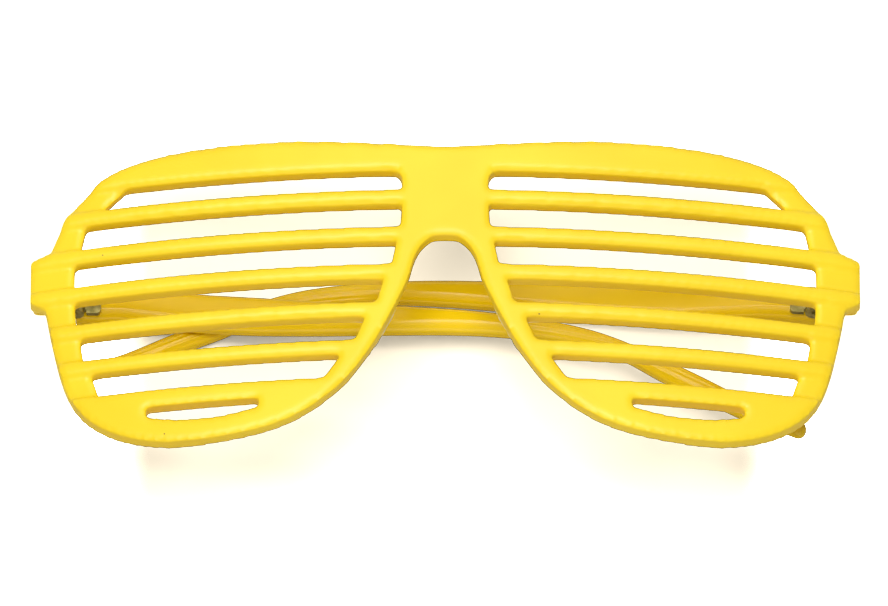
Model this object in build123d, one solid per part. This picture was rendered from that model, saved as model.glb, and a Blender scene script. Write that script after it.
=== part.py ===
from build123d import *
import os
from math import asin, degrees, sqrt

# Slatted novelty glasses, folded and lying on the backs of their arms, all sizes in millimetres.
# The pieces are drawn as worn and seen from the front: X to the right, Y to the rear, Z up.
# lay_down() then turns them onto the table, faces upwards, brow towards +Y, lower rims towards -Y.
# Left and right in the names are the wearer's own.

# Front moulding
front_half_width = 74.0
front_rise = 28.8
front_drop = 29.7
front_thickness = 3.4
front_wrap_radius = 240.0
front_edge_round = 0.45
cut_overrun = 30.0

# Outline of the right half, as shares of the half width and of the rise (above zero) or the drop (below)
brow_shares = [
    (0.0, 0.937), (0.155, 0.961), (0.345, 0.996), (0.5, 1.0), (0.64, 0.978), (0.755, 0.925),
    (0.832, 0.838), (0.88, 0.718), (0.912, 0.627), (0.935, 0.495), (0.951, 0.396),
]
lug_shares = [(0.965, 0.368), (0.995, 0.345), (1.0, 0.32), (1.0, 0.055), (0.961, 0.003)]
rim_shares = [
    (0.949, -0.175), (0.93, -0.4), (0.9, -0.63), (0.874, -0.737), (0.832, -0.84), (0.743, -0.953),
    (0.642, -1.0), (0.56, -0.992), (0.478, -0.966), (0.384, -0.902), (0.3, -0.78), (0.235, -0.63),
    (0.19, -0.475), (0.155, -0.325), (0.116, -0.123), (0.088, 0.05), (0.066, 0.225),
    (0.036, 0.31), (0.0, 0.324),
]

# Slats, counted down from the one under the brow, and the gaps above each of them
slat_count = 6
slat_top = 18.3
slat_pitch = 7.5
slat_height = 2.55
slat_lower_round = 0.9
brow_lower_edge = 22.5
gap_corner_radius = 0.5
nose_corner_radius = 1.1
nose_corner_from = 3
brow_corner_radius = 2.2
# Each gap's nose end and temple end at its top and at its bottom, as shares of the half width
gap_end_shares = [
    (0.104, 0.1, 0.77, 0.835),
    (0.102, 0.106, 0.868, 0.882),
    (0.115, 0.127, 0.895, 0.896),
    (0.145, 0.164, 0.894, 0.89),
    (0.189, 0.215, 0.881, 0.871),
    (0.246, 0.29, 0.853, 0.832),
]
# Temple-side stretches of rim between the slats, set back from the slats' faces
rim_recess_depth = 0.9
rim_recess_start_share = 0.74

# Short slot under the last slat, whose lower edge follows the rim
slot_top = -22.2
slot_nose_end = 32.9
slot_temple_end = 53.2
slot_nose_height = 1.9
slot_temple_height = 2.3
slot_middle_height = 3.6
slot_corner_radius = 0.45

# End pieces, the blocks behind the front's two ends that carry the hinges
hinge_depth = 17.9
lug_bottom = 1.8
lug_top = 9.6
lug_rear_gap = 0.1
lug_rear = hinge_depth - lug_rear_gap
lug_rear_inset = 0.5
lug_edge_round = 0.6

# Hinges, each with two knuckles on the front and one on the arm
hinge_inset = 7.8
hinge_half_spacing = front_half_width - hinge_inset
hinge_height = 4.6
hinge_cant_angle = 3.3
knuckle_radius = 1.8
knuckle_height = 1.35
knuckle_gap = 0.1
knuckle_clearance = 0.12
leaf_thickness = 1.0
leaf_seat_depth = 0.4
leaf_reach = 2.1
front_leaf_length = 5.0
temple_leaf_length = 4.6
temple_leaf_height = 2.6
leaf_corner_radius = 0.8
screw_radius = 0.6
screw_running_clearance = 0.03
screw_head_radius = 1.25
screw_head_height = 0.45
screw_slot_width = 0.35
screw_slot_depth = 0.25
screw_tip_length = 0.3

# Arms, drawn open along +Y from the hinge axis, outwards along +X, heights from the root's middle
arm_reach = 131.0
arm_root_thickness = 4.3
arm_thickness = 3.2
arm_tip_thickness = 2.7
arm_butt_gap = 0.2
arm_root_length = 10.0
arm_taper_end = 24.0
arm_hook_start = 82.0
arm_root_height = 6.4
arm_root_rise = 1.6
arm_hook_drop = 20.2
arm_edge_round = 0.8
# How far each arm turns to fold, in degrees: the left one stops early and lies behind the right one
left_fold_angle = 88.4
right_fold_angle = 91.6
# Distances are shares of the reach, heights are shares of half the root's height
arm_upper_shares = [
    (0.06, 1.0), (0.16, 0.97), (0.24, 0.92), (0.36, 0.8), (0.45, 0.75), (0.5, 0.7), (0.55, 0.6),
    (0.61, 0.37), (0.664, 0.05),
]
arm_lower_shares = [
    (0.664, -1.0), (0.61, -0.78), (0.55, -0.68), (0.5, -0.71), (0.45, -0.8), (0.36, -1.0),
    (0.24, -1.19), (0.16, -1.12), (0.06, -0.95),
]
# Here heights are shares of the hook's drop
hook_upper_shares = [
    (0.715, -0.067), (0.757, -0.165), (0.845, -0.426), (0.895, -0.589), (0.947, -0.758), (0.998, -0.876),
]
hook_lower_shares = [
    (0.99, -1.0), (0.93, -0.875), (0.87, -0.697), (0.8, -0.483), (0.755, -0.32), (0.715, -0.22),
]


def front_point(x_share, z_share):
    """A point of the front's outline."""
    return (x_share * front_half_width, z_share * (front_rise if z_share > 0 else front_drop))


def wrap_depth(x, radius=front_wrap_radius):
    """How far the front's face lies behind its middle at a distance x from it."""
    return front_wrap_radius - sqrt(radius**2 - x**2)


def slat_edges(index):
    """Top and bottom heights of a slat."""
    top = slat_top - slat_pitch * index
    return top, top - slat_height


def gap_edges(index):
    """Bottom and top heights of the gap above a slat."""
    upper = brow_lower_edge if index == 0 else slat_edges(index - 1)[1]
    return slat_edges(index)[0], upper


def both_sides(solid):
    """A solid and its mirror image on the other half of the glasses."""
    return [solid, solid.mirror(Plane.YZ)]


def across(face):
    """A face in X and Z, carried right through the front along Y."""
    return extrude(face, amount=cut_overrun, dir=(0, 1, 0), both=True)


def wrapped_layer(outer_radius, inner_radius):
    """The curved sheet between two radii, shared by everything that follows the front's wrap."""
    height = 4 * front_half_width
    sheet = Cylinder(outer_radius, height) - Cylinder(inner_radius, height)
    return Pos(0, front_wrap_radius, 0) * sheet


def outline_face():
    """The front's outline with its brow, end pieces, rims and nose arch."""
    brow = Spline(*[front_point(*p) for p in brow_shares], tangents=[(1, 0), (0.35, -1)])
    lug = Polyline(brow @ 1, *[front_point(*p) for p in lug_shares])
    rim = Spline(lug @ 1, *[front_point(*p) for p in rim_shares], tangents=[(-0.12, -1), (-1, 0)])
    close = Line(rim @ 1, brow @ 0)
    half = make_face(Curve() + [brow, lug, rim, close])
    whole = half + half.mirror(Plane.YZ)
    return Plane.XZ * whole


def gap_face(index):
    """One see-through gap on the right half, with rounded corners."""
    low, high = gap_edges(index)
    nose_top, nose_low, temple_top, temple_low = [s * front_half_width for s in gap_end_shares[index]]
    corners = [(nose_low, low), (temple_low, low), (temple_top, high), (nose_top, high)]
    low_nose_radius = nose_corner_radius if index >= nose_corner_from else gap_corner_radius
    top_nose_radius = brow_corner_radius if index == 0 else gap_corner_radius
    radii = [low_nose_radius, gap_corner_radius, gap_corner_radius, top_nose_radius]
    face = make_face(Polyline(*corners, close=True))
    for corner, radius in zip(corners, radii):
        face = fillet(face.vertices().sort_by_distance(corner)[0], radius)
    return Plane.XZ * face


def slot_face():
    """The short slot, straight above and curved below."""
    middle = (slot_nose_end + slot_temple_end) / 2
    top = Line((slot_nose_end, slot_top), (slot_temple_end, slot_top))
    temple = Line(top @ 1, (slot_temple_end, slot_top - slot_temple_height))
    low = ThreePointArc(
        temple @ 1, (middle, slot_top - slot_middle_height), (slot_nose_end, slot_top - slot_nose_height)
    )
    nose = Line(low @ 1, top @ 0)
    face = make_face(Curve() + [top, temple, low, nose])
    return Plane.XZ * fillet(face.vertices(), slot_corner_radius)


def recess_face(index):
    """The stretch of rim beside a gap that is set back from the slats."""
    low, high = gap_edges(index)
    start = rim_recess_start_share * front_half_width
    end = front_half_width + front_thickness
    return Plane.XZ * make_face(Polyline((start, low), (end, low), (end, high), (start, high), close=True))


def end_piece():
    """The block behind one end of the front, narrowing a little to the rear."""
    inner = hinge_half_spacing + knuckle_radius + knuckle_gap - leaf_seat_depth
    start = wrap_depth(inner)
    rear_half_width = front_half_width - lug_rear_inset
    plan = make_face(Polyline(
        (inner, start), (front_half_width, start),
        (front_half_width, wrap_depth(front_half_width) + front_edge_round),
        (rear_half_width, lug_rear), (inner, lug_rear), close=True,
    ))
    block = Pos(0, 0, lug_bottom) * extrude(plan, amount=lug_top - lug_bottom)
    rear = block.edges().filter_by(lambda e: e.center().Y > lug_rear - lug_edge_round)
    sides = block.edges().filter_by(lambda e: e.center().X > rear_half_width - lug_edge_round)
    return fillet(ShapeList(set(rear) | set(sides)), lug_edge_round)


def lower_edges():
    """Height and nose end of the lower front edges of the brow and of every slat over a gap."""
    return [(gap_edges(i)[1], gap_end_shares[i][0] * front_half_width) for i in range(slat_count)]


def front_frame():
    """The one-piece front: brow, slats, rims, nose arch and end pieces."""
    inner_radius = front_wrap_radius - front_thickness
    body = across(outline_face()) & wrapped_layer(front_wrap_radius, inner_radius)
    lip = wrapped_layer(front_wrap_radius + cut_overrun, front_wrap_radius)
    for block in both_sides(end_piece()):
        body += block - lip
    recess_skin = wrapped_layer(front_wrap_radius + cut_overrun, front_wrap_radius - rim_recess_depth)
    for index in range(slat_count):
        for gap in both_sides(across(gap_face(index))):
            body -= gap
        for recess in both_sides(across(recess_face(index)) & recess_skin):
            body -= recess
    for slot in both_sides(across(slot_face())):
        body -= slot
    for height, nose_end in lower_edges():
        for cutter in both_sides(lower_edge_cutter(height, nose_end)):
            body -= cutter
    return body


def lower_edge_cutter(height, nose_end):
    """What rounds a slat's lower front edge off, from its nose end out to the temple."""
    corner = Polyline(
        (-slat_lower_round, height - slat_lower_round / 4), (slat_lower_round, height - slat_lower_round / 4),
        (slat_lower_round, height + slat_lower_round), (-slat_lower_round, height + slat_lower_round),
        close=True,
    )
    round_part = Pos(slat_lower_round, height + slat_lower_round) * Circle(slat_lower_round)
    profile = Plane.YZ * (make_face(corner) - round_part)
    axis = Axis((0, front_wrap_radius, 0), (0, 0, 1))
    nose_angle = degrees(asin(nose_end / front_wrap_radius))
    temple_angle = degrees(asin((front_half_width + front_thickness) / front_wrap_radius))
    cutter = revolve(profile, axis=axis, revolution_arc=temple_angle - nose_angle)
    return cutter.rotate(axis, nose_angle)


def arm_point(share, height_share, height):
    """A point of an arm's side view, as distance and height."""
    return (share * arm_reach, height_share * height)


def arm_side_face():
    """The arm seen from the side: tall root, slim middle and hook for the ear."""
    half_root = arm_root_height / 2
    upper = [(arm_butt_gap / 2, half_root)]
    upper += [arm_point(*p, half_root) for p in arm_upper_shares]
    upper += [arm_point(*p, arm_hook_drop) for p in hook_upper_shares]
    lower = [arm_point(*p, arm_hook_drop) for p in hook_lower_shares]
    lower += [arm_point(*p, half_root) for p in arm_lower_shares]
    lower += [(arm_butt_gap / 2, -half_root)]
    top = Spline(*upper, tangents=[(1, 0), (1, -0.4)])
    bottom = Spline(*lower, tangents=[(-1, 0.4), (-1, 0)])
    half_width = (top @ 1 - bottom @ 0) / 2
    tip = ThreePointArc(top @ 1, bottom @ 0 + half_width + Vector(half_width.Y, -half_width.X), bottom @ 0)
    butt = Line(bottom @ 1, top @ 0)
    return Plane.YZ * Pos(0, arm_root_rise) * make_face(Curve() + [top, tip, bottom, butt])


def temple():
    """One arm, drawn for the wearer's left hinge and standing open."""
    inner_root = knuckle_radius + knuckle_gap
    outer = inner_root + arm_root_thickness
    side = extrude(arm_side_face(), amount=outer + arm_thickness)
    plan = make_face(Polyline(
        (inner_root, 0), (inner_root, arm_root_length), (outer - arm_thickness, arm_taper_end),
        (outer - arm_thickness, arm_hook_start), (outer - arm_tip_thickness, arm_reach + arm_tip_thickness),
        (outer, arm_reach + arm_tip_thickness), (outer, 0), close=True,
    ))
    arm = side & extrude(plan, amount=2 * arm_hook_drop, both=True)
    return fillet(arm.edges().filter_by(lambda e: e.center().Y > arm_butt_gap), arm_edge_round)


def slab(low, high):
    """A block between two opposite corners."""
    size = [b - a for a, b in zip(low, high)]
    return Pos(*low) * Box(*size, align=(Align.MIN, Align.MIN, Align.MIN))


def knuckle(level):
    """One hinge knuckle, bored for the screw. Level is -1, 0 or 1 from bottom to top."""
    bore = screw_radius + screw_running_clearance
    ring = Cylinder(knuckle_radius, knuckle_height) - Cylinder(bore, knuckle_height)
    return Pos(0, 0, level * (knuckle_height + knuckle_gap)) * ring


def knuckle_web(level, start, end):
    """The strip that joins a knuckle to its leaf, from start to end along Y."""
    middle = level * (knuckle_height + knuckle_gap)
    outer = knuckle_radius + knuckle_gap
    web = slab(
        (outer - leaf_thickness, start, middle - knuckle_height / 2),
        (outer, end, middle + knuckle_height / 2),
    )
    return web - Pos(0, 0, middle) * Cylinder(screw_radius + screw_running_clearance, 2 * knuckle_height)


def leaf_plate(start, end, height, rounded_end):
    """The flat part of a leaf, with its far corners rounded."""
    outer = knuckle_radius + knuckle_gap
    plate = slab((outer - leaf_thickness, start, -height / 2), (outer, end, height / 2))
    across_edges = plate.edges().filter_by(Axis.X)
    far_edges = across_edges.filter_by(lambda e: abs(e.center().Y - rounded_end) < leaf_thickness / 4)
    return fillet(far_edges, leaf_corner_radius)


def front_leaf():
    """The hinge half on the front: a plate seated in the end piece, and the outer two knuckles."""
    height = 3 * knuckle_height + 2 * knuckle_gap
    leaf = leaf_plate(-front_leaf_length, -leaf_reach, height, -front_leaf_length)
    for level in (-1, 1):
        leaf += knuckle_web(level, -leaf_reach, 0) + knuckle(level)
    return leaf


def temple_leaf():
    """The hinge half on an arm: a plate on its inner face, and the middle knuckle."""
    plate = leaf_plate(leaf_reach, temple_leaf_length, temple_leaf_height, temple_leaf_length)
    return plate + knuckle_web(0, 0, leaf_reach) + knuckle(0)


def hinge_screw():
    """The screw that is the hinge's pin, head at the top."""
    half = 1.5 * knuckle_height + knuckle_gap
    shank_length = 2 * half + screw_tip_length
    shank = Pos(0, 0, half - shank_length / 2) * Cylinder(screw_radius, shank_length)
    head = Pos(0, 0, half + screw_head_height / 2) * Cylinder(screw_head_radius, screw_head_height)
    slot = slab(
        (-screw_head_radius, -screw_slot_width / 2, half + screw_head_height - screw_slot_depth),
        (screw_head_radius, screw_slot_width / 2, half + screw_head_height),
    )
    rim = head.edges().group_by(Axis.Z)[-1]
    return shank + fillet(rim, screw_slot_depth / 2) - slot


def hinge_place(side):
    """Where a hinge's own frame sits on the front. Side is 1 for the wearer's left and -1 for the right."""
    return Pos(side * hinge_half_spacing, hinge_depth, hinge_height) * Rot(0, hinge_cant_angle, 0)


def sided(solid, side):
    """A solid drawn for the wearer's left, mirrored where it belongs to the right."""
    return solid if side > 0 else solid.mirror(Plane.YZ)


def seated_front(leaf):
    """The front with the pockets for its two leaves and room for the knuckles to turn."""
    body = front_frame()
    room = Cylinder(knuckle_radius + knuckle_clearance, 2 * lug_top)
    for side in (1, -1):
        body -= hinge_place(side) * sided(leaf, side)
        body -= hinge_place(side) * room
    return body


def lay_down(solid, middle, rearmost):
    """Turns a worn piece to lie on its back, where middle is the worn height that comes to Y zero."""
    return Pos(0, -middle, rearmost) * Rot(-90, 0, 0) * solid


def main():
    os.makedirs("parts", exist_ok=True)
    front_half_hinge = front_leaf()
    temple_half_hinge = temple_leaf()
    screw = hinge_screw()
    arm = temple()
    front = seated_front(front_half_hinge)
    box = front.bounding_box()
    middle = (box.min.Z + box.max.Z) / 2
    pieces = {"front_frame": front}
    for name, side, fold in (("left", 1, left_fold_angle), ("right", -1, right_fold_angle)):
        place = hinge_place(side)
        folded = place * Rot(0, 0, fold * side)
        pieces[f"{name}_front_hinge_leaf"] = place * sided(front_half_hinge, side)
        pieces[f"{name}_hinge_screw"] = place * screw
        pieces[f"{name}_temple_hinge_leaf"] = folded * sided(temple_half_hinge, side)
        pieces[f"{name}_temple"] = folded * sided(arm, side)
    rearmost = max(piece.bounding_box().max.Y for piece in pieces.values())
    for name, piece in pieces.items():
        export_step(lay_down(piece, middle, rearmost), f"parts/{name}.step")
    print(f"middle height {middle:.4f}, rearmost depth {rearmost:.4f}")


main()
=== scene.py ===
"""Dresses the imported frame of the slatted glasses, and adds their table, light and camera."""

import logging
from dataclasses import dataclass
from enum import Enum
from math import cos, radians, sin
from typing import Any

import bmesh
import bpy
from mathutils import Matrix, Vector


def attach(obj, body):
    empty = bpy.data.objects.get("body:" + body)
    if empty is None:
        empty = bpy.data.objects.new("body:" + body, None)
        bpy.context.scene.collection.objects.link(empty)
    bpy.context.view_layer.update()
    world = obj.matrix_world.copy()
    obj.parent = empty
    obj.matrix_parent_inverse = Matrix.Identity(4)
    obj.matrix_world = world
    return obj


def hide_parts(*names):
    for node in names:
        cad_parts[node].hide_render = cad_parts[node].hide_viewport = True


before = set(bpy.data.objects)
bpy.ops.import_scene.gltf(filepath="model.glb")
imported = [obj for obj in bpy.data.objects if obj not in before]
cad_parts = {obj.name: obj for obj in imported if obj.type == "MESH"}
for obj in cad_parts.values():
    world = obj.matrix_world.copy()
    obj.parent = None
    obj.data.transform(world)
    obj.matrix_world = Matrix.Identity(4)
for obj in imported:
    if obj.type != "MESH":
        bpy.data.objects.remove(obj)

log = logging.getLogger("glasses")

MM = 0.001
IMAGE_SIZE = (888, 606)
FRONT_MIDDLE = Vector((0.0, 0.44 * MM, 27.75 * MM))
WHITE = (1.0, 1.0, 1.0, 1.0)
# corners of a CAD node's triangles that are nearer than this are one corner
MERGE_DISTANCE = 0.005 * MM
# how far one smoothing pass moves a point towards its neighbours
SMOOTH_FACTOR = 0.5
# the attribute that marks the mould's thin flash, where the front gets a ridge and a painted
# highlight
FLASH_AND_HIGHLIGHT = "flash"
# the attributes that say where on an arm a point lies
MEASURES = ("along", "above", "below", "inner")
# places of the mixing node's factor, colours and result
MIX_FACTOR, MIX_A, MIX_B, MIX_RESULT = 0, 6, 7, 2


class Body(Enum):
    """The rigid bodies of the frame."""

    FRONT = "front"
    LEFT_ARM = "left_arm"
    RIGHT_ARM = "right_arm"


class Side(Enum):
    """The wearer's sides, as the sign of x."""

    LEFT = 1
    RIGHT = -1


def linear(hex_colour: str) -> tuple[float, float, float, float]:
    """Turns an sRGB hex colour into the linear values that Blender uses.

    Args:
        hex_colour: Six hex digits, such as "F8C81C".

    Returns:
        Red, green, blue and an alpha of one.
    """
    channels = [int(hex_colour[i:i + 2], 16) / 255 for i in (0, 2, 4)]
    # the curve that the sRGB standard gives
    light = [c / 12.92 if c <= 0.04045 else ((c + 0.055) / 1.055) ** 2.4 for c in channels]
    return (*light, 1.0)


def add_node(
    tree: bpy.types.NodeTree,
    kind: str,
    values: dict[str | int, Any] | None = None,
    links: dict[str | int, bpy.types.NodeSocket | bpy.types.Node] | None = None,
    **settings: Any,
) -> bpy.types.Node:
    """Adds a node with its settings, its fixed inputs and its links.

    Args:
        tree: The node tree.
        kind: Blender's name for the node's type.
        values: Fixed inputs, by name or place.
        links: What feeds inputs, by name or place: a socket, or a node for its first output.
        settings: The node's own properties.

    Returns:
        The node.
    """
    node = tree.nodes.new(kind)
    for name, value in settings.items():
        setattr(node, name, value)
    for name, value in (values or {}).items():
        node.inputs[name].default_value = value
    for name, source in (links or {}).items():
        socket = source.outputs[0] if isinstance(source, bpy.types.Node) else source
        tree.links.new(socket, node.inputs[name])
    return node


def new_material(name: str) -> tuple[bpy.types.Material, bpy.types.NodeTree, bpy.types.Node]:
    """Starts a material.

    Args:
        name: Its name.

    Returns:
        The material, its node tree and its shader.
    """
    material = bpy.data.materials.new(name)
    material.use_nodes = True
    return material, material.node_tree, material.node_tree.nodes["Principled BSDF"]


def blotches(
    tree: bpy.types.NodeTree,
    place: bpy.types.NodeSocket,
    size_mm: float,
    detail: float,
    limits: tuple[float, float],
    colours: tuple[str, str],
) -> bpy.types.NodeSocket:
    """Mixes two colours in soft blotches.

    Args:
        tree: The material's node tree.
        place: The object coordinates.
        size_mm: Size of the blotches.
        detail: Finer levels in their outline.
        limits: The noise below which the first colour is plain and above which the second is.
        colours: The two colours, as sRGB hex.

    Returns:
        The mixed colour.
    """
    noise = add_node(tree, "ShaderNodeTexNoise",
                     {"Scale": 1 / (size_mm * MM), "Detail": detail}, {"Vector": place})
    share = add_node(tree, "ShaderNodeMapRange",
                     {"From Min": limits[0], "From Max": limits[1]}, {"Value": noise})
    mixed = add_node(tree, "ShaderNodeMix",
                     {MIX_A: linear(colours[0]), MIX_B: linear(colours[1])},
                     {MIX_FACTOR: share}, data_type="RGBA")
    return mixed.outputs[MIX_RESULT]


def relief(
    tree: bpy.types.NodeTree,
    place: bpy.types.NodeSocket,
    size_mm: float,
    detail: float,
    depth_mm: float,
    strength: float,
) -> bpy.types.NodeSocket:
    """Makes a fine uneven relief.

    Args:
        tree: The material's node tree.
        place: The object coordinates.
        size_mm: Size of its bumps.
        detail: Finer levels in them.
        depth_mm: Their depth.
        strength: How much of it shows.

    Returns:
        The normal for the shader.
    """
    noise = add_node(tree, "ShaderNodeTexNoise",
                     {"Scale": 1 / (size_mm * MM), "Detail": detail}, {"Vector": place})
    bump = add_node(tree, "ShaderNodeBump",
                    {"Strength": strength, "Distance": depth_mm * MM}, {"Height": noise})
    return bump.outputs["Normal"]


@dataclass(frozen=True)
class MouldedPlastic:
    """Glossy acrylonitrile plastic, injection moulded.

    To the eye it is one even colour right through, with soft lights, a faint grain, a few tiny
    specks, and a painted highlight: near white along the mould's flash.

    Args:
        name: The material's name.
        colour: The body colour, as sRGB hex.
        deep: The colour of its slightly denser patches, as sRGB hex.
        roughness: The surface's roughness.
        gloss: Strength of its reflections, where 0.5 is plain plastic.
        ior: Index of refraction.
        speck: The colour of the specks in it, as sRGB hex.
        thin: The painted highlight's colour along the flash at a mould's parting line, as sRGB hex.
        patch_mm: Size of the patches.
        patch_limits: The noise at which a patch starts to end and has ended.
        grain_mm: Size of the mould's grain, drawn coarser than the real one so that it shows.
        grain_depth_mm: Depth of the grain.
        grain_strength: How much of the grain shows.
        speck_spacing_mm: Spacing of the specks inside the plastic; the surface cuts a few.
        speck_mm: Radius of a speck.
    """

    name: str
    colour: str
    deep: str
    roughness: float
    gloss: float = 0.5
    ior: float = 1.5
    speck: str = "8A6A14"
    thin: str = "FFFBE6"
    patch_mm: float = 18.0
    patch_limits: tuple[float, float] = (0.35, 0.6)
    grain_mm: float = 0.5
    grain_depth_mm: float = 0.05
    grain_strength: float = 0.05
    speck_spacing_mm: float = 9.0
    speck_mm: float = 0.2

    def material(self) -> bpy.types.Material:
        """Makes the material, with its patterns in object coordinates.

        Returns:
            The material.
        """
        material, tree, shader = new_material(self.name)
        place = add_node(tree, "ShaderNodeTexCoord").outputs["Object"]
        body = blotches(tree, place, self.patch_mm, detail=2.0, limits=self.patch_limits,
                        colours=(self.deep, self.colour))
        specks = add_node(tree, "ShaderNodeTexVoronoi",
                          {"Scale": 1 / (self.speck_spacing_mm * MM)}, {"Vector": place})
        radius = self.speck_mm / self.speck_spacing_mm
        inside = add_node(
            tree, "ShaderNodeMapRange",
            {"From Min": radius / 2, "From Max": radius, "To Min": 1.0, "To Max": 0.0},
            {"Value": specks.outputs["Distance"]})
        speckled = add_node(tree, "ShaderNodeMix", {MIX_B: linear(self.speck)},
                            {MIX_FACTOR: inside, MIX_A: body}, data_type="RGBA")
        # painted highlight: along the flash the colour is mixed towards near white
        flash = add_node(tree, "ShaderNodeAttribute", attribute_name=FLASH_AND_HIGHLIGHT).outputs["Fac"]
        pale = add_node(tree, "ShaderNodeMix", {MIX_B: linear(self.thin)},
                        {MIX_FACTOR: flash, MIX_A: speckled.outputs[MIX_RESULT]},
                        data_type="RGBA")
        grain = relief(tree, place, self.grain_mm, detail=3.0, depth_mm=self.grain_depth_mm,
                       strength=self.grain_strength)
        tree.links.new(pale.outputs[MIX_RESULT], shader.inputs["Base Color"])
        tree.links.new(grain, shader.inputs["Normal"])
        shader.inputs["Roughness"].default_value = self.roughness
        shader.inputs["IOR"].default_value = self.ior
        shader.inputs["Specular IOR Level"].default_value = self.gloss
        return material


@dataclass(frozen=True)
class PressedMetal:
    """Brass-coloured steel, pressed and then tumbled.

    To the eye it is a dull olive brass, with dark stains and short scratches.

    Args:
        name: The material's name.
        colour: The metal's colour, as sRGB hex.
        stain: The colour of its dull patches, as sRGB hex.
        roughness: The surface's roughness.
        metallic: How metallic it is, a little less than one under its stains.
        stain_mm: Size of the stains.
        stain_limits: The noise at which a stain starts to end and has ended.
        scratch_mm: Spacing of its fine scratches.
        scratch_depth_mm: Their depth.
        scratch_strength: How much of them shows.
    """

    name: str
    colour: str
    stain: str
    roughness: float
    metallic: float = 0.9
    stain_mm: float = 1.6
    stain_limits: tuple[float, float] = (0.35, 0.65)
    scratch_mm: float = 0.25
    scratch_depth_mm: float = 0.02
    scratch_strength: float = 0.2

    def material(self) -> bpy.types.Material:
        """Makes the material, with its patterns in object coordinates.

        Returns:
            The material.
        """
        material, tree, shader = new_material(self.name)
        place = add_node(tree, "ShaderNodeTexCoord").outputs["Object"]
        body = blotches(tree, place, self.stain_mm, detail=4.0, limits=self.stain_limits,
                        colours=(self.stain, self.colour))
        scratches = relief(tree, place, self.scratch_mm, detail=2.0,
                           depth_mm=self.scratch_depth_mm, strength=self.scratch_strength)
        tree.links.new(body, shader.inputs["Base Color"])
        tree.links.new(scratches, shader.inputs["Normal"])
        shader.inputs["Metallic"].default_value = self.metallic
        shader.inputs["Roughness"].default_value = self.roughness
        return material


# the front comes from a satin mould, so its lights are broad and soft
FRONT_YELLOW = MouldedPlastic("yellow_moulded_abs", "FDDB1C", "FAD513", roughness=0.42)
# the arms: a darker, more orange yellow than the front's, from a polished mould with tighter and
# weaker lights
ARM_YELLOW = MouldedPlastic("yellow_polished_abs", "EFCB0A", "EAC507", roughness=0.22, gloss=0.25)
# the hinges' leaves and screws
HINGE_METAL = PressedMetal("brassy_pressed_steel", "A79F66", "6E6836", roughness=0.35)


def new_tree(
    name: str, inputs: dict[str, float | Vector]
) -> tuple[bpy.types.NodeTree, bpy.types.Node]:
    """Starts a Geometry Nodes tree with named inputs.

    Args:
        name: The tree's name.
        inputs: The start value of each input, a number or a vector.

    Returns:
        The tree and its input node.
    """
    tree = bpy.data.node_groups.new(name, "GeometryNodeTree")
    for way in ("INPUT", "OUTPUT"):
        tree.interface.new_socket("Geometry", in_out=way, socket_type="NodeSocketGeometry")
    for label, value in inputs.items():
        kind = "NodeSocketVector" if isinstance(value, Vector) else "NodeSocketFloat"
        socket = tree.interface.new_socket(label, in_out="INPUT", socket_type=kind)
        socket.default_value = value
    tree.interface.new_socket("Material", in_out="INPUT", socket_type="NodeSocketMaterial")
    return tree, tree.nodes.new("NodeGroupInput")


def end_tree(
    tree: bpy.types.NodeTree, start: bpy.types.Node, geometry: bpy.types.NodeSocket | bpy.types.Node
) -> None:
    """Ends a Geometry Nodes tree: makes everything real and sets its material.

    Args:
        tree: The tree.
        start: Its input node.
        geometry: The finished geometry.
    """
    real = add_node(tree, "GeometryNodeRealizeInstances", links={"Geometry": geometry})
    dressed = add_node(tree, "GeometryNodeSetMaterial",
                       links={"Geometry": real, "Material": start.outputs["Material"]})
    add_node(tree, "NodeGroupOutput", links={0: dressed})


def merged_copy(node: bpy.types.Object, name: str) -> bpy.types.Object:
    """Copies a CAD node into a new object and merges its loose triangles.

    Args:
        node: The CAD node.
        name: The new object's name.

    Returns:
        The new object.
    """
    mesh = node.data.copy()
    mesh.name = name
    surface = bmesh.new()
    surface.from_mesh(mesh)
    bmesh.ops.remove_doubles(surface, verts=surface.verts, dist=MERGE_DISTANCE)
    surface.to_mesh(mesh)
    surface.free()
    obj = bpy.data.objects.new(name, mesh)
    bpy.context.scene.collection.objects.link(obj)
    return obj


def freeze(obj: bpy.types.Object) -> None:
    """Applies an object's modifiers and removes them.

    Args:
        obj: The object.
    """
    depsgraph = bpy.context.evaluated_depsgraph_get()
    obj.data = bpy.data.meshes.new_from_object(obj.evaluated_get(depsgraph))
    obj.modifiers.clear()


def soften(obj: bpy.types.Object, voxel_mm: float, passes: int) -> None:
    """Gives an object an even skin with softly moulded edges.

    Args:
        obj: The object.
        voxel_mm: Size of the skin's faces.
        passes: How often its edges are smoothed.
    """
    skin = obj.modifiers.new("skin", "REMESH")
    skin.mode = "VOXEL"
    skin.voxel_size = voxel_mm * MM
    skin.use_smooth_shade = True
    smooth = obj.modifiers.new("edges", "SMOOTH")
    smooth.factor = SMOOTH_FACTOR
    smooth.iterations = passes
    freeze(obj)
    obj.data.materials.clear()


def run_tree(obj: bpy.types.Object, tree: bpy.types.NodeTree, values: dict[str, Any]) -> None:
    """Runs a Geometry Nodes tree on an object and keeps the result as a plain mesh.

    Args:
        obj: The object.
        tree: The tree.
        values: The tree's inputs, by name.
    """
    modifier = obj.modifiers.new(tree.name, "NODES")
    modifier.node_group = tree
    for entry in tree.interface.items_tree:
        if entry.in_out == "INPUT" and entry.name in values:
            modifier[entry.identifier] = values[entry.name]
    freeze(obj)


def paint(obj: bpy.types.Object, material: bpy.types.Material) -> None:
    """Gives an object one material.

    Args:
        obj: The object.
        material: The material.
    """
    if not obj.material_slots:
        obj.data.materials.append(material)
    for entry in obj.material_slots:
        entry.material = material


def hand_over(obj: bpy.types.Object, node: str, body: Body) -> None:
    """Hides the CAD node that a finished plastic piece replaces, and hangs the piece on its body.

    Args:
        obj: The piece.
        node: The CAD node that it replaces.
        body: The body that it moves with.
    """
    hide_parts(node)
    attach(obj, body.value)
    log.info("%s has %d faces", obj.name, len(obj.data.polygons))


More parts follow.
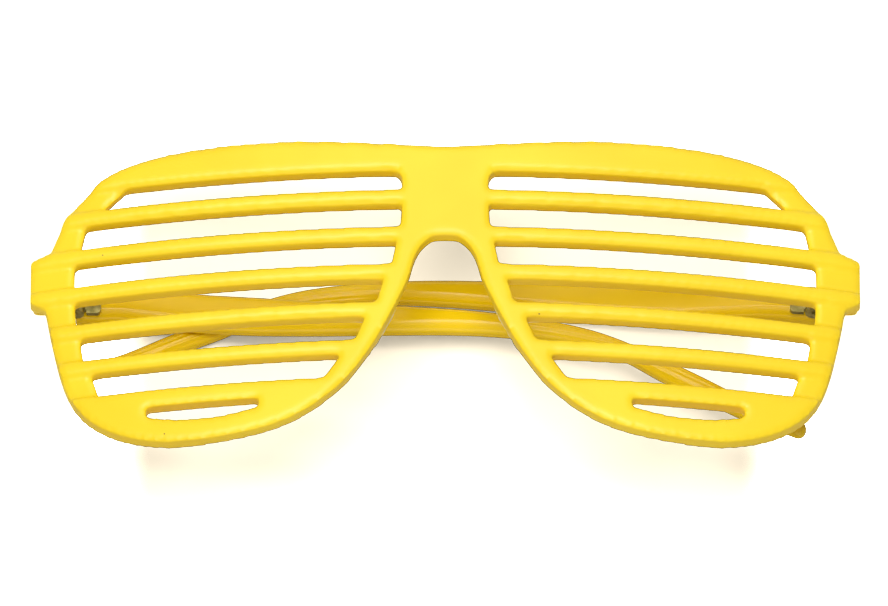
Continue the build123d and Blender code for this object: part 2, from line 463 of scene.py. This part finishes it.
@dataclass
class Front:
    """The one-piece front, whose slats and rims roll over softly to their walls.

    Args:
        voxel_mm: Size of its skin's faces.
        passes: How often its edges are smoothed.
        wall_tilt: How far up a surface may face and still be a wall, where one is straight up.
        face_tilt: How far up it faces once it is all face.
        roll_mm: Width of the rolled edge round every opening.
        roll_depth_mm: How far the edge is rolled back.
        swell_mm: How far the walls swell to make up for the smoothing.
        flash_mm: Width of the thin flash that the mould left, which also carries a painted
            highlight.
        flash_grain_mm: Size of its unevenness.
        flash_limits: The noise at which it is least and is whole.
        flash_least: What is left of it where it is least.
        flash_depth_mm: Depth behind the face where the flash starts and is full.
        flash_low_mm: Height where it starts and is full.
        flash_high_mm: Height where it fades and is gone.
        flash_side_mm: Distance from the middle where it fades and is gone.
    """

    voxel_mm: float = 0.41
    passes: int = 11
    wall_tilt: float = 0.45
    face_tilt: float = 0.7
    roll_mm: float = 1.3
    roll_depth_mm: float = 0.2
    swell_mm: float = 0.14
    flash_mm: float = 0.24
    flash_grain_mm: float = 1.6
    flash_limits: tuple[float, float] = (0.35, 0.55)
    flash_least: float = 0.2
    flash_depth_mm: tuple[float, float] = (2.2, 2.7)
    flash_low_mm: tuple[float, float] = (-14.0, -12.0)
    flash_high_mm: tuple[float, float] = (-5.0, -3.0)
    flash_side_mm: tuple[float, float] = (15.0, 17.0)

    def tree(self) -> bpy.types.NodeTree:
        """Makes the tree that rolls the face's edges back towards the nearest wall.

        Returns:
            The tree.
        """
        tree, start = new_tree("rolled_edges", {
            "Roll Width": self.roll_mm * MM,
            "Roll Depth": self.roll_depth_mm * MM,
            "Swell": self.swell_mm * MM,
            "Low Corner": Vector(),
            "High Corner": Vector(),
            "Flash Width": self.flash_mm * MM,
        })
        skin = start.outputs["Geometry"]
        normal = add_node(tree, "GeometryNodeInputNormal")
        up = add_node(tree, "ShaderNodeSeparateXYZ", links={0: normal}).outputs["Z"]
        # the nearer a wall is, the further the edge rolls back, by the square
        wall = add_node(tree, "FunctionNodeCompare", {1: self.wall_tilt}, {0: up},
                        operation="LESS_THAN")
        walls = add_node(tree, "GeometryNodeSeparateGeometry",
                         links={"Geometry": skin, "Selection": wall}, domain="FACE")
        near = add_node(tree, "GeometryNodeProximity", links={0: walls}).outputs["Distance"]
        share = add_node(tree, "ShaderNodeMath", links={0: near, 1: start.outputs["Roll Width"]},
                         operation="DIVIDE")
        left = add_node(tree, "ShaderNodeMath", {0: 1.0}, {1: share}, operation="SUBTRACT",
                        use_clamp=True)
        square = add_node(tree, "ShaderNodeMath", {1: 2.0}, {0: left}, operation="POWER")
        depth = add_node(tree, "ShaderNodeMath", links={0: square, 1: start.outputs["Roll Depth"]},
                         operation="MULTIPLY")
        facing = add_node(tree, "ShaderNodeMapRange",
                          {"From Min": self.wall_tilt, "From Max": self.face_tilt}, {"Value": up})
        back = add_node(tree, "ShaderNodeMath", links={0: depth, 1: facing}, operation="MULTIPLY")
        roll = add_node(tree, "ShaderNodeVectorMath", {0: (0.0, 0.0, -1.0)}, {"Scale": back},
                        operation="SCALE")
        # the walls swell sideways, and the flash stands out from them
        sideways = add_node(tree, "ShaderNodeVectorMath", {1: (1.0, 1.0, 0.0)}, {0: normal},
                            operation="MULTIPLY")
        swell = add_node(tree, "ShaderNodeVectorMath",
                         links={0: sideways, "Scale": start.outputs["Swell"]}, operation="SCALE")
        here = add_node(tree, "GeometryNodeInputPosition").outputs[0]
        flash = self.flash(tree, skin, up, here)
        width = add_node(tree, "ShaderNodeMath", links={0: flash, 1: start.outputs["Flash Width"]},
                         operation="MULTIPLY")
        ridge = add_node(tree, "ShaderNodeVectorMath", links={0: sideways, "Scale": width},
                         operation="SCALE")
        place = here
        for operation, change in (
            ("ADD", swell),
            ("ADD", ridge),
            ("ADD", roll),
            ("MAXIMUM", start.outputs["Low Corner"]),
            ("MINIMUM", start.outputs["High Corner"]),
        ):
            place = add_node(tree, "ShaderNodeVectorMath", links={0: place, 1: change},
                             operation=operation)
        # the flash share is kept for the plastic, which paints a highlight along it
        marked = add_node(tree, "GeometryNodeStoreNamedAttribute", {"Name": FLASH_AND_HIGHLIGHT},
                          {"Geometry": skin, "Value": flash}, data_type="FLOAT", domain="POINT")
        moved = add_node(tree, "GeometryNodeSetPosition",
                         links={"Geometry": marked, "Position": place})
        end_tree(tree, start, moved)
        return tree

    def flash(
        self,
        tree: bpy.types.NodeTree,
        skin: bpy.types.NodeSocket,
        up: bpy.types.NodeSocket,
        here: bpy.types.NodeSocket,
    ) -> bpy.types.NodeSocket:
        """Finds the flash along the back edge beside the nose, for a ridge and a painted highlight.

        Args:
            tree: The tree.
            skin: The front's skin.
            up: How far each point faces up.
            here: Each point's place.

        Returns:
            How much flash each point has, from zero to one.
        """
        top = add_node(tree, "FunctionNodeCompare", {1: self.face_tilt}, {0: up},
                       operation="GREATER_THAN")
        face = add_node(tree, "GeometryNodeSeparateGeometry",
                        links={"Geometry": skin, "Selection": top}, domain="FACE")
        depth = add_node(tree, "GeometryNodeProximity", links={0: face})
        parts = add_node(tree, "ShaderNodeSeparateXYZ", links={0: here})
        aside = add_node(tree, "ShaderNodeMath", links={0: parts.outputs["X"]},
                         operation="ABSOLUTE")
        uneven = add_node(tree, "ShaderNodeTexNoise",
                          {"Scale": 1 / (self.flash_grain_mm * MM), "Detail": 2.0},
                          {"Vector": here})
        low, high = self.flash_limits
        share = add_node(tree, "ShaderNodeMapRange",
                         {"From Min": low, "From Max": high, "To Min": self.flash_least},
                         {"Value": uneven})
        for source, (low, high), (first, last) in (
            (depth.outputs["Distance"], self.flash_depth_mm, (0.0, 1.0)),
            (parts.outputs["Y"], self.flash_low_mm, (0.0, 1.0)),
            (parts.outputs["Y"], self.flash_high_mm, (1.0, 0.0)),
            (aside, self.flash_side_mm, (1.0, 0.0)),
        ):
            ramp = add_node(
                tree, "ShaderNodeMapRange",
                {"From Min": low * MM, "From Max": high * MM, "To Min": first, "To Max": last},
                {"Value": source}, interpolation_type="SMOOTHSTEP")
            share = add_node(tree, "ShaderNodeMath", links={0: share, 1: ramp},
                             operation="MULTIPLY")
        return share.outputs[0]

    def build(self, material: bpy.types.Material) -> None:
        """Makes the moulded front.

        Args:
            material: The plastic.
        """
        node = "front_frame"
        obj = merged_copy(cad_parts[node], "front_moulding")
        low, high = (Vector([limit(corner[i] for corner in obj.bound_box) for i in range(3)])
                     for limit in (min, max))
        soften(obj, self.voxel_mm, self.passes)
        run_tree(obj, self.tree(), {"Material": material, "Low Corner": low, "High Corner": high})
        hand_over(obj, node, Body.FRONT)


@dataclass(frozen=True)
class EdgeLine:
    """The line of an arm's upper or lower edge, as its height at even steps along the arm.

    Args:
        heights: The edge's height in the middle of each step, in metres.
        first: The first step's number, counted from the hinge.
        step: Length of a step, in metres.
    """

    heights: list[float]
    first: int
    step: float

    def at(self, along: float) -> float:
        """Reads the edge's height between the steps.

        Args:
            along: Distance from the hinge, in metres.

        Returns:
            The height there, in metres.
        """
        last = len(self.heights) - 1
        # a step's height belongs to its middle, half a step on
        place = along / self.step - self.first - 0.5
        low = min(max(int(place // 1), 0), last)
        high = min(low + 1, last)
        share = min(max(place - low, 0.0), 1.0)
        return self.heights[low] * (1 - share) + self.heights[high] * share


@dataclass
class Arm:
    """A folded arm with a faceted inner face and fine grooves along its hook.

    Args:
        side: The wearer's side.
        body: The body that it moves with.
        fold_degrees: How far it is folded.
        hinge_mm: The hinge's place, on the left.
        cant_degrees: How far the hinge leans.
        inner_mm: The slim part's inner face, measured from the hinge.
        outer_mm: The outer face, measured from the hinge.
        facet_mm: Height of the facet along the lower edge.
        facet_depth_mm: How far that facet falls back.
        crest_mm: Height of the facet along the upper edge.
        crest_depth_mm: How far that facet falls back.
        groove_count: The hook's grooves.
        groove_depth_mm: Their depth.
        groove_reach: How far a groove's wall reaches from its middle, in shares of their pitch.
        groove_start_mm: Where they start, from the hinge.
        groove_end_mm: Where they end, from the hinge.
        fade_mm: Over what length they grow to their depth.
        end_fade_mm: Over what length they end.
        voxel_mm: Size of its skin's faces.
        passes: How often its edges are smoothed.
        step_mm: Step at which its edges are measured.
        even_steps: Steps to each side over which a measured edge is evened out.
    """

    side: Side
    body: Body
    fold_degrees: float
    hinge_mm: tuple[float, float, float] = (66.2, 5.0415, 9.8493)
    cant_degrees: float = 3.3
    inner_mm: float = 3.0
    outer_mm: float = 6.2
    facet_mm: float = 1.7
    facet_depth_mm: float = 0.95
    crest_mm: float = 0.9
    crest_depth_mm: float = 0.3
    groove_count: int = 5
    groove_depth_mm: float = 0.22
    groove_reach: float = 0.4
    groove_start_mm: float = 74.0
    groove_end_mm: float = 129.0
    fade_mm: float = 12.0
    end_fade_mm: float = 3.0
    voxel_mm: float = 0.26
    passes: int = 4
    step_mm: float = 1.0
    even_steps: int = 2

    def axes(self) -> Matrix:
        """Gives the arm's own axes: along it, up it and out of its outer face.

        Returns:
            A matrix whose rows are those directions in the row frame.
        """
        sign = self.side.value
        fold, cant = radians(self.fold_degrees), radians(self.cant_degrees) * sign

        def from_hinge(x: float, y: float, z: float) -> Vector:
            """Turns a direction at the hinge (sideways, back, up) into the row frame."""
            across, up = x * cos(cant) + z * sin(cant), -x * sin(cant) + z * cos(cant)
            return Vector((sign * across, up, -y))

        along = from_hinge(-sin(fold), cos(fold), 0.0)
        out = from_hinge(cos(fold), sin(fold), 0.0)
        return Matrix((along, from_hinge(0.0, 0.0, 1.0), out))

    def hinge(self) -> Vector:
        """Gives the hinge's place in metres."""
        x, y, z = self.hinge_mm
        return Vector((self.side.value * x, y, z)) * MM

    def evened(self, heights: list[float]) -> list[float]:
        """Evens out a measured edge.

        Args:
            heights: Its height at each step.

        Returns:
            Each step's mean with its neighbours.
        """
        span = 2 * self.even_steps + 1
        padded = [heights[0]] * self.even_steps + heights + [heights[-1]] * self.even_steps
        return [sum(padded[i:i + span]) / span for i in range(len(heights))]

    def measures(self, obj: bpy.types.Object) -> dict[str, list[float]]:
        """Measures every point of the arm in its own directions.

        Args:
            obj: The arm's even skin.

        Returns:
            Each point's distance along the arm, above its lower edge and below its upper edge in
            metres, and its share of the way from the outer face to the inner one.
        """
        axes, hinge = self.axes(), self.hinge()
        local = [axes @ (vertex.co - hinge) for vertex in obj.data.vertices]
        step = self.step_mm * MM
        steps = [int(point.x // step) for point in local]
        first, count = min(steps), max(steps) - min(steps) + 1
        lows, highs = [float("inf")] * count, [float("-inf")] * count
        for place, point in zip(steps, local):
            lows[place - first] = min(lows[place - first], point.y)
            highs[place - first] = max(highs[place - first], point.y)
        lower, upper = (EdgeLine(self.evened(edge), first, step) for edge in (lows, highs))
        inner, outer = self.inner_mm * MM, self.outer_mm * MM
        return dict(zip(MEASURES, (
            [p.x for p in local],
            [max(p.y - lower.at(p.x), 0.0) for p in local],
            [max(upper.at(p.x) - p.y, 0.0) for p in local],
            [min(max((outer - p.z) / (outer - inner), 0.0), 1.0) for p in local],
        )))

    def tree(self) -> bpy.types.NodeTree:
        """Makes the tree that cuts the facets and the hook's grooves into the inner face.

        Returns:
            The tree.
        """
        tree, start = new_tree("arm_relief", {
            "Outward": Vector((0, 0, -1)),
            "Facet Height": 1.0,
            "Facet Depth": 0.0,
            "Crest Height": 1.0,
            "Crest Depth": 0.0,
            "Groove Count": 1.0,
            "Groove Depth": 0.0,
            "Groove Start": 0.0,
            "Groove End": 1.0,
        })
        own = {name: add_node(tree, "GeometryNodeInputNamedAttribute", {"Name": name},
                              data_type="FLOAT") for name in MEASURES}
        facet, crest = (
            add_node(tree, "ShaderNodeMapRange", {"To Max": 0.0}, {
                "Value": own[distance],
                "From Max": start.outputs[f"{part} Height"],
                "To Min": start.outputs[f"{part} Depth"],
            })
            for distance, part in (("above", "Facet"), ("below", "Crest")))
        # the grooves share out the hook's height, so they follow its edges, and the wave is each
        # point's distance from the middle of the nearest one, in shares of their pitch
        height = add_node(tree, "ShaderNodeMath", links={0: own["above"], 1: own["below"]},
                          operation="ADD")
        across = add_node(tree, "ShaderNodeMath", links={0: own["above"], 1: height},
                          operation="DIVIDE")
        counted = add_node(tree, "ShaderNodeMath",
                           links={0: across, 1: start.outputs["Groove Count"]},
                           operation="MULTIPLY")
        wave = add_node(tree, "ShaderNodeMath", {1: 0.5}, {0: counted}, operation="PINGPONG")
        groove = add_node(tree, "ShaderNodeMapRange",
                          {"From Max": self.groove_reach, "To Max": 0.0},
                          {"Value": wave, "To Min": start.outputs["Groove Depth"]},
                          interpolation_type="SMOOTHSTEP")
        deep, leaving = (
            add_node(tree, "ShaderNodeMath", {1: reach}, {0: start.outputs[name]}, operation="ADD")
            for name, reach in (("Groove Start", self.fade_mm * MM),
                                ("Groove End", -self.end_fade_mm * MM)))
        grows = add_node(tree, "ShaderNodeMapRange", links={
            "Value": own["along"],
            "From Min": start.outputs["Groove Start"],
            "From Max": deep,
        }, interpolation_type="SMOOTHSTEP")
        ends = add_node(tree, "ShaderNodeMapRange", {"To Min": 1.0, "To Max": 0.0}, {
            "Value": own["along"],
            "From Min": leaving,
            "From Max": start.outputs["Groove End"],
        }, interpolation_type="SMOOTHSTEP")
        push = groove
        for operation, other in (
            ("MULTIPLY", grows),
            ("MULTIPLY", ends),
            ("ADD", facet),
            ("ADD", crest),
            ("MULTIPLY", own["inner"]),
        ):
            push = add_node(tree, "ShaderNodeMath", links={0: push, 1: other}, operation=operation)
        offset = add_node(tree, "ShaderNodeVectorMath",
                          links={0: start.outputs["Outward"], "Scale": push}, operation="SCALE")
        moved = add_node(tree, "GeometryNodeSetPosition",
                         links={"Geometry": start.outputs["Geometry"], "Offset": offset})
        end_tree(tree, start, moved)
        return tree

    def build(self, material: bpy.types.Material) -> None:
        """Makes the moulded arm.

        Args:
            material: The plastic.
        """
        name = self.side.name.lower()
        node = f"{name}_temple"
        obj = merged_copy(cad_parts[node], f"{name}_arm_moulding")
        soften(obj, self.voxel_mm, self.passes)
        for label, values in self.measures(obj).items():
            obj.data.attributes.new(label, "FLOAT", "POINT").data.foreach_set("value", values)
        run_tree(obj, self.tree(), {
            "Material": material,
            "Outward": self.axes()[2].copy(),
            "Facet Height": self.facet_mm * MM,
            "Facet Depth": self.facet_depth_mm * MM,
            "Crest Height": self.crest_mm * MM,
            "Crest Depth": self.crest_depth_mm * MM,
            "Groove Count": float(self.groove_count),
            "Groove Depth": self.groove_depth_mm * MM,
            "Groove Start": self.groove_start_mm * MM,
            "Groove End": self.groove_end_mm * MM,
        })
        for label in MEASURES:
            obj.data.attributes.remove(obj.data.attributes[label])
        hand_over(obj, node, self.body)


@dataclass
class Hinges:
    """The two small metal hinges, which are the frame's own leaves and screws.

    Args:
        word: What the names of all their nodes hold.
    """

    word: str = "hinge"

    def build(self, material: bpy.types.Material) -> None:
        """Dresses the leaves and screws.

        Args:
            material: The metal.
        """
        for name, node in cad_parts.items():
            if self.word in name:
                paint(node, material)
                log.info("%s is dressed", name)


@dataclass(frozen=True)
class Lamp:
    """A square soft lamp that points at the front's middle.

    Args:
        name: The lamp's name.
        place: Its position in metres.
        size: Its side in metres.
        power: Its power in watts.
    """

    name: str
    place: tuple[float, float, float]
    size: float
    power: float

    def build(self) -> None:
        """Adds the lamp."""
        data = bpy.data.lights.new(self.name, "AREA")
        data.shape = "SQUARE"
        data.size = self.size
        data.energy = self.power
        obj = bpy.data.objects.new(self.name, data)
        obj.location = self.place
        obj.rotation_euler = (FRONT_MIDDLE - obj.location).to_track_quat("-Z", "Y").to_euler()
        bpy.context.scene.collection.objects.link(obj)


@dataclass(frozen=True)
class Studio:
    """The pale table top and the light that the glasses lie in.

    Args:
        fill: Strength of the even light from all round.
        backdrop: The white that the camera sees, warm where it is shaded, as sRGB hex.
        backdrop_strength: Strength of that white.
        table: The table's colour, as sRGB hex.
        lamps: The lamps.
        table_mm: Half the table's width and depth.
        table_drop_mm: How far the table lies below the patch.
        table_roughness: Roughness of its laminate.
        patch_mm: Half the width and depth of the patch that shows the shadow.
        patch_fade_mm: Over what distance the patch fades out sideways, and to front and back.
    """

    fill: float
    backdrop: str
    backdrop_strength: float
    table: str
    lamps: tuple[Lamp, ...]
    table_mm: tuple[float, float] = (3000.0, 3000.0)
    table_drop_mm: float = 0.5
    table_roughness: float = 0.8
    patch_mm: tuple[float, float] = (66.5, 50.0)
    patch_fade_mm: tuple[float, float] = (14.0, 12.0)

    def set_world(self) -> None:
        """Fills the scene with soft light and shows white behind it."""
        world = bpy.data.worlds.new("studio")
        bpy.context.scene.world = world
        world.use_nodes = True
        tree = world.node_tree
        fill = tree.nodes["Background"]
        fill.inputs["Color"].default_value = WHITE
        fill.inputs["Strength"].default_value = self.fill
        shown = add_node(tree, "ShaderNodeBackground",
                         {"Color": linear(self.backdrop), "Strength": self.backdrop_strength})
        mirrored = add_node(tree, "ShaderNodeBackground", {"Color": WHITE, "Strength": 1.0})
        rays = add_node(tree, "ShaderNodeLightPath").outputs
        bounced = add_node(tree, "ShaderNodeMath",
                           links={0: rays["Is Glossy Ray"], 1: rays["Is Transmission Ray"]},
                           operation="MAXIMUM")
        lit = add_node(tree, "ShaderNodeMixShader", links={0: bounced, 1: fill, 2: mirrored})
        whole = add_node(tree, "ShaderNodeMixShader",
                         links={0: rays["Is Camera Ray"], 1: lit, 2: shown})
        tree.links.new(whole.outputs[0], tree.nodes["World Output"].inputs["Surface"])

    def table_material(self, fades: bool) -> bpy.types.Material:
        """Makes the table's matt laminate, pale and warm, with no lights of its own.

        Args:
            fades: Whether it fades out towards the patch's edges.

        Returns:
            The material.
        """
        material, tree, shader = new_material("pale_table_patch" if fades else "pale_table")
        shader.inputs["Base Color"].default_value = linear(self.table)
        shader.inputs["Roughness"].default_value = self.table_roughness
        if fades:
            place = add_node(tree, "ShaderNodeTexCoord").outputs["Object"]
            parts = add_node(tree, "ShaderNodeSeparateXYZ", links={0: place})
            shares = []
            for axis, reach, fade in zip("XY", self.patch_mm, self.patch_fade_mm):
                away = add_node(tree, "ShaderNodeMath", links={0: parts.outputs[axis]},
                                operation="ABSOLUTE")
                shares.append(add_node(
                    tree, "ShaderNodeMapRange",
                    {"From Min": (reach - fade) * MM, "From Max": reach * MM,
                     "To Min": 1.0, "To Max": 0.0},
                    {"Value": away}, interpolation_type="SMOOTHSTEP"))
            whole = add_node(tree, "ShaderNodeMath", links=dict(enumerate(shares)),
                             operation="MULTIPLY")
            tree.links.new(whole.outputs[0], shader.inputs["Alpha"])
        return material

    def add_plane(
        self, name: str, half_mm: tuple[float, float], drop_mm: float, shows_shadow: bool
    ) -> None:
        """Adds a level plane of the table's laminate.

        Args:
            name: Its name.
            half_mm: Half its width and depth.
            drop_mm: How far it lies below the glasses.
            shows_shadow: Whether it shows the glasses' shadow, or only bounces light.
        """
        width, depth = half_mm
        corners = [(x * width * MM, y * depth * MM, -drop_mm * MM)
                   for x, y in ((-1, -1), (1, -1), (1, 1), (-1, 1))]
        mesh = bpy.data.meshes.new(name)
        mesh.from_pydata(corners, [], [(0, 1, 2, 3)])
        plane = bpy.data.objects.new(name, mesh)
        bpy.context.scene.collection.objects.link(plane)
        plane.is_shadow_catcher = shows_shadow
        plane.visible_camera = shows_shadow
        plane.visible_shadow = shows_shadow
        paint(plane, self.table_material(shows_shadow))

    def build(self) -> None:
        """Sets up the light and the table.

        The patch that shows the shadow ends short of the arms' hinges, because it would hide the
        opened arms where they reach below it.
        """
        self.set_world()
        for lamp in self.lamps:
            lamp.build()
        self.add_plane("table_patch", self.patch_mm, 0.0, shows_shadow=True)
        self.add_plane("table_top", self.table_mm, self.table_drop_mm, shows_shadow=False)


@dataclass(frozen=True)
class View:
    """The camera, as the photograph was taken.

    Args:
        elevation: Degrees above the horizon.
        distance: Metres from the camera to the front's middle.
        scale: Pixels of the photograph to one millimetre at the front's middle.
        origin_px: Where the front's middle lies in the photograph.
        sensor_mm: Width of the camera's sensor.
        nearest: Metres from the camera to the nearest thing that it shows.
    """

    elevation: float
    distance: float
    scale: float
    origin_px: tuple[float, float]
    sensor_mm: float = 36.0
    nearest: float = 0.01

    def build(self) -> None:
        """Places the camera."""
        tilt = radians(self.elevation)
        outward = Vector((0, -cos(tilt), sin(tilt)))
        right = Vector((1, 0, 0))
        up = outward.cross(right)
        middle = Vector((IMAGE_SIZE[0] / 2, IMAGE_SIZE[1] / 2))
        offset = (middle - Vector(self.origin_px)) / self.scale * MM
        aim = FRONT_MIDDLE + right * offset.x - up * offset.y
        data = bpy.data.cameras.new("camera")
        data.sensor_width = self.sensor_mm
        data.lens = self.sensor_mm * self.distance * self.scale / (IMAGE_SIZE[0] * MM)
        data.clip_start = self.nearest
        turn = Matrix((right, up, outward)).transposed().to_4x4()
        camera = bpy.data.objects.new("camera", data)
        camera.matrix_world = Matrix.Translation(aim + outward * self.distance) @ turn
        bpy.context.scene.collection.objects.link(camera)
        bpy.context.scene.camera = camera


STUDIO = Studio(
    fill=0.18,
    backdrop="FFF2D8",
    backdrop_strength=1.9,
    table="D6CDB6",
    lamps=(
        Lamp("key", (-0.08, -0.12, 0.95), size=0.6, power=7.7),
        Lamp("back", (0.05, 0.6, 0.9), size=0.7, power=2.2),
        Lamp("front", (0.0, -0.9, 0.3), size=0.5, power=1.3),
    ),
)
PHOTO = View(elevation=62.0, distance=3.0, scale=5.63, origin_px=(445.3, 279.0))


def main() -> None:
    """Builds the whole scene."""
    logging.basicConfig(level=logging.INFO)
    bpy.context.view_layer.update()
    bpy.context.scene.view_settings.view_transform = "Standard"
    Front().build(FRONT_YELLOW.material())
    arm_plastic = ARM_YELLOW.material()
    Arm(Side.LEFT, Body.LEFT_ARM, fold_degrees=88.4).build(arm_plastic)
    Arm(Side.RIGHT, Body.RIGHT_ARM, fold_degrees=91.6).build(arm_plastic)
    Hinges().build(HINGE_METAL.material())
    STUDIO.build()
    PHOTO.build()


if __name__ == "__main__":
    main()
